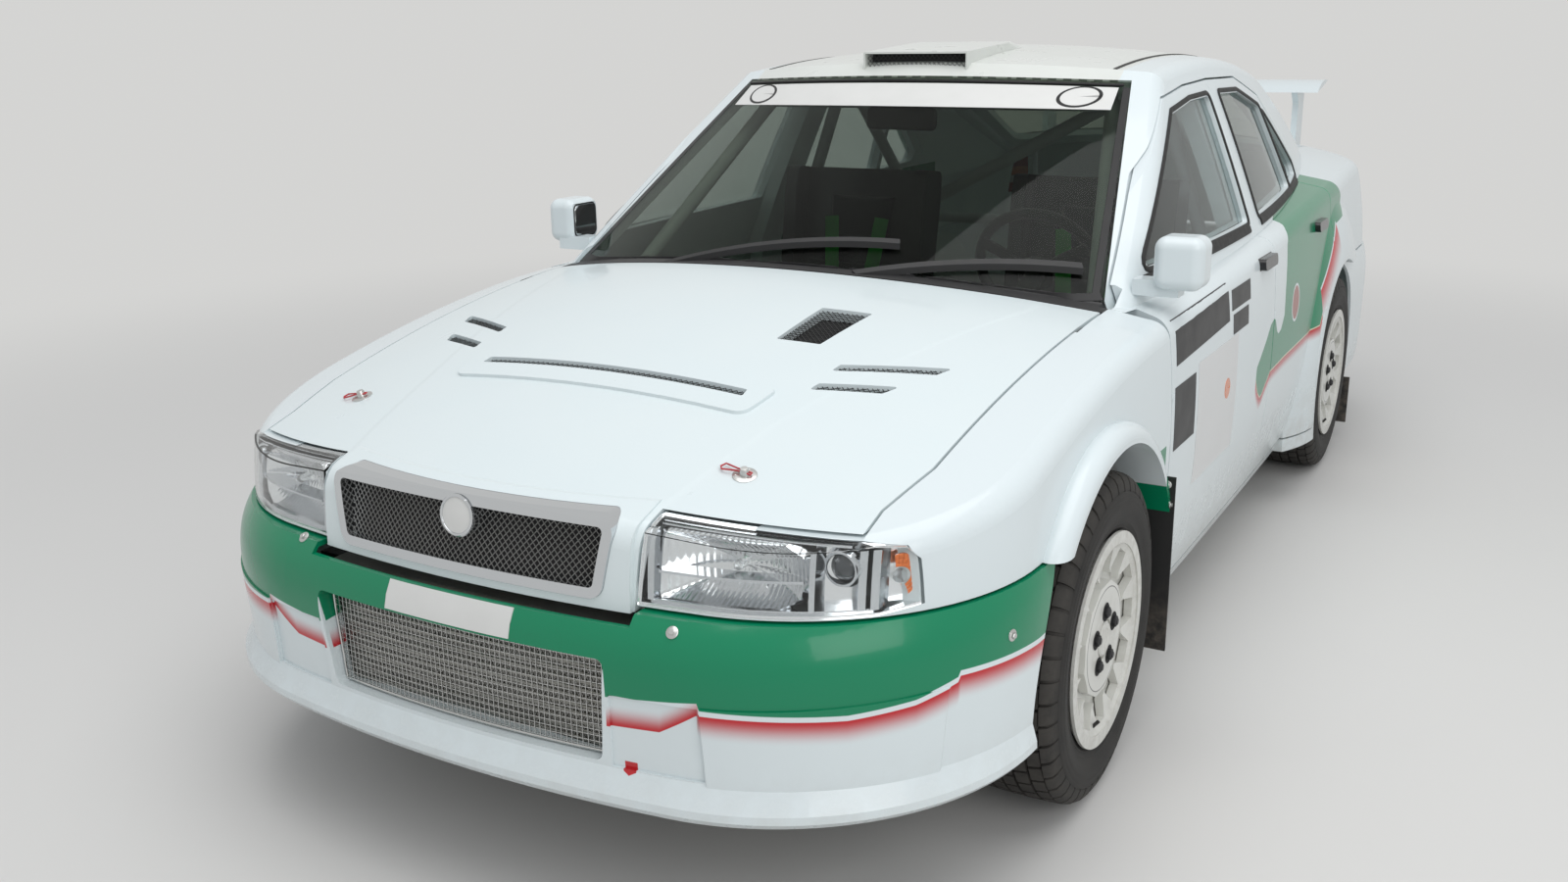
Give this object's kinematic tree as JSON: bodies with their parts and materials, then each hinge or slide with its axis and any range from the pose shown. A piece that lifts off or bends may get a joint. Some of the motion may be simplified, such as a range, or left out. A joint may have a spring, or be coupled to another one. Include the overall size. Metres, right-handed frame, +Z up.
{
  "type": "rally car",
  "caption": "Gravel rally car with a five-door liftback body, opening doors, bonnet and tailgate, steered front wheels, roll cage and bucket seats.",
  "frame": {"origin": "on the ground, under the middle of the car's outline", "axes": "+X to the car's left, -Y to its front, +Z up"},
  "size_m": [1.786, 4.5114, 1.438],
  "materials": {
    "body_paint": "gloss white paint",
    "bumper_paint": "gloss painted plastic",
    "glass": "laminated, slightly green",
    "lamp_lens": "clear moulded lens",
    "lamp_housing": "bright reflector",
    "tail_lens": "clear red plastic",
    "grille_metal": "bright frame",
    "black_plastic": "textured black",
    "black_rubber": "matte black",
    "tyre_rubber": "matte black",
    "wheel_paint": "white enamel",
    "inner_paint": "body colour, matt inside",
    "steel": "bare and painted steel",
    "cast_iron": "cast",
    "aluminium": "bare sheet and fins",
    "cage_paint": "painted tube",
    "seat_shell": "moulded shell"
  },
  "bodies": {
    "body": {"floor_pan": "inner_paint", "side_frames": "body_paint", "front_wings": "body_paint", "front_bumper": "bumper_paint", "rear_bumper": "bumper_paint", "front_beam": "steel", "rear_beam": "inner_paint", "headlamps": "lamp_housing", "headlamp_lenses": "lamp_lens", "tail_lamps": "tail_lens", "cowl_panel": "black_plastic", "windscreen": "glass", "roof_panel": "body_paint", "roof_scoop": "body_paint", "wipers": "black_plastic", "intercooler": "aluminium", "engine_block": "aluminium", "sump_guard": "aluminium", "front_subframe": "steel", "rear_axle": "steel", "exhaust": "steel", "mud_flaps": "black_rubber", "roll_cage": "cage_paint", "driver_seat": "seat_shell", "codriver_seat": "seat_shell", "dashboard": "black_plastic", "steering_column": "black_plastic"},
    "bonnet": {"bonnet": "body_paint", "grille": "grille_metal"},
    "tailgate": {"tailgate": "body_paint", "tailgate_glass": "glass", "rear_wing": "body_paint"},
    "steering_wheel": {"steering_wheel": "black_rubber"},
    "front_door_left": {"front_door_left": "body_paint", "front_door_glass_left": "glass", "mirror_left": "body_paint"},
    "rear_door_left": {"rear_door_left": "body_paint", "rear_door_glass_left": "glass"},
    "front_knuckle_left": {"front_knuckle_left": "cast_iron"},
    "wheel_front_left": {"wheel_front_left": "wheel_paint", "tyre_front_left": "tyre_rubber"},
    "wheel_rear_left": {"wheel_rear_left": "wheel_paint", "tyre_rear_left": "tyre_rubber"},
    "front_door_right": {"front_door_right": "body_paint", "front_door_glass_right": "glass", "mirror_right": "body_paint"},
    "rear_door_right": {"rear_door_right": "body_paint", "rear_door_glass_right": "glass"},
    "front_knuckle_right": {"front_knuckle_right": "cast_iron"},
    "wheel_front_right": {"wheel_front_right": "wheel_paint", "tyre_front_right": "tyre_rubber"},
    "wheel_rear_right": {"wheel_rear_right": "wheel_paint", "tyre_rear_right": "tyre_rubber"}
  },
  "joints": [
    {"name": "steer_left", "type": "hinge", "parent": "body", "child": "front_knuckle_left", "pos_m": [0.72, -1.355, 0.205], "axis": [-0.2037, 0, 0.979], "range_deg": [-28, 28]},
    {"name": "steer_right", "type": "hinge", "parent": "body", "child": "front_knuckle_right", "pos_m": [-0.72, -1.355, 0.205], "axis": [0.2037, 0, 0.979], "range_deg": [-28, 28]},
    {"name": "wheel_front_left_spin", "type": "hinge", "parent": "front_knuckle_left", "child": "wheel_front_left", "pos_m": [0.772, -1.355, 0.328], "axis": [1, 0, 0], "continuous": true},
    {"name": "wheel_front_right_spin", "type": "hinge", "parent": "front_knuckle_right", "child": "wheel_front_right", "pos_m": [-0.772, -1.355, 0.328], "axis": [1, 0, 0], "continuous": true},
    {"name": "wheel_rear_left_spin", "type": "hinge", "parent": "body", "child": "wheel_rear_left", "pos_m": [0.772, 1.157, 0.328], "axis": [1, 0, 0], "continuous": true},
    {"name": "wheel_rear_right_spin", "type": "hinge", "parent": "body", "child": "wheel_rear_right", "pos_m": [-0.772, 1.157, 0.328], "axis": [1, 0, 0], "continuous": true},
    {"name": "steering_wheel_turn", "type": "hinge", "parent": "body", "child": "steering_wheel", "pos_m": [0.37, -0.42, 0.88], "axis": [0, 0.9135, 0.4067], "range_deg": [-378, 378]},
    {"name": "front_door_left_hinge", "type": "hinge", "parent": "body", "child": "front_door_left", "pos_m": [0.853, -0.912, 0.5], "axis": [0, 0, -1], "range_deg": [0, 65]},
    {"name": "front_door_right_hinge", "type": "hinge", "parent": "body", "child": "front_door_right", "pos_m": [-0.853, -0.912, 0.5], "axis": [0, 0, 1], "range_deg": [0, 65]},
    {"name": "rear_door_left_hinge", "type": "hinge", "parent": "body", "child": "rear_door_left", "pos_m": [0.858, 0.108, 0.5], "axis": [0, 0, -1], "range_deg": [0, 65]},
    {"name": "rear_door_right_hinge", "type": "hinge", "parent": "body", "child": "rear_door_right", "pos_m": [-0.858, 0.108, 0.5], "axis": [0, 0, 1], "range_deg": [0, 65]},
    {"name": "bonnet_hinge", "type": "hinge", "parent": "body", "child": "bonnet", "pos_m": [0, -0.985, 0.925], "axis": [-1, 0, 0], "range_deg": [0, 55]},
    {"name": "tailgate_hinge", "type": "hinge", "parent": "body", "child": "tailgate", "pos_m": [0, 0.972, 1.356], "axis": [1, 0, 0], "range_deg": [0, 75]}
  ],
  "couplings": [
    {"joint": "steer_right", "follows": "steer_left", "ratio": 1},
    {"joint": "steering_wheel_turn", "follows": "steer_left", "ratio": 13.5}
  ]
}
